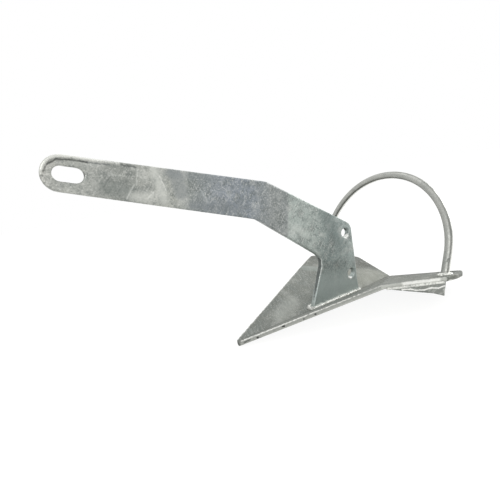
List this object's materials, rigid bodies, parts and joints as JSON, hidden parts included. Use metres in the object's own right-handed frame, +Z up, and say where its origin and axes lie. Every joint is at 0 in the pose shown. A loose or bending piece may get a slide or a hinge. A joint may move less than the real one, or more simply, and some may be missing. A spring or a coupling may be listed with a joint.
{
  "type": "anchor",
  "caption": "Galvanised steel scoop anchor: flat shank with a shackle slot, folded concave fluke, round roll bar and two skids, welded into one rigid piece.",
  "frame": {"origin": "on the floor, in the plane of symmetry, midway between the eye of the shank and the tips of the wings", "axes": "+X aft along the keel towards the roll bar, +Y to starboard, +Z up; the XZ plane is the plane of symmetry"},
  "size_m": [0.634, 0.336, 0.3324],
  "materials": {
    "galvanised_shank": "hot-dip galvanised steel plate, dull silver grey with spangle",
    "galvanised_fluke": "hot-dip galvanised steel plate, finely pebbled",
    "galvanised_bar": "hot-dip galvanised round bar",
    "galvanised_weld": "galvanised weld bead, bright and lumpy"
  },
  "bodies": {
    "root": {"fluke": "galvanised_fluke", "shank": "galvanised_shank", "roll_bar": "galvanised_bar", "skid_starboard": "galvanised_fluke", "skid_port": "galvanised_fluke", "shank_weld": "galvanised_weld", "roll_bar_weld_starboard": "galvanised_weld", "roll_bar_weld_port": "galvanised_weld", "skid_weld_starboard": "galvanised_weld", "skid_weld_port": "galvanised_weld"}
  },
  "joints": []
}
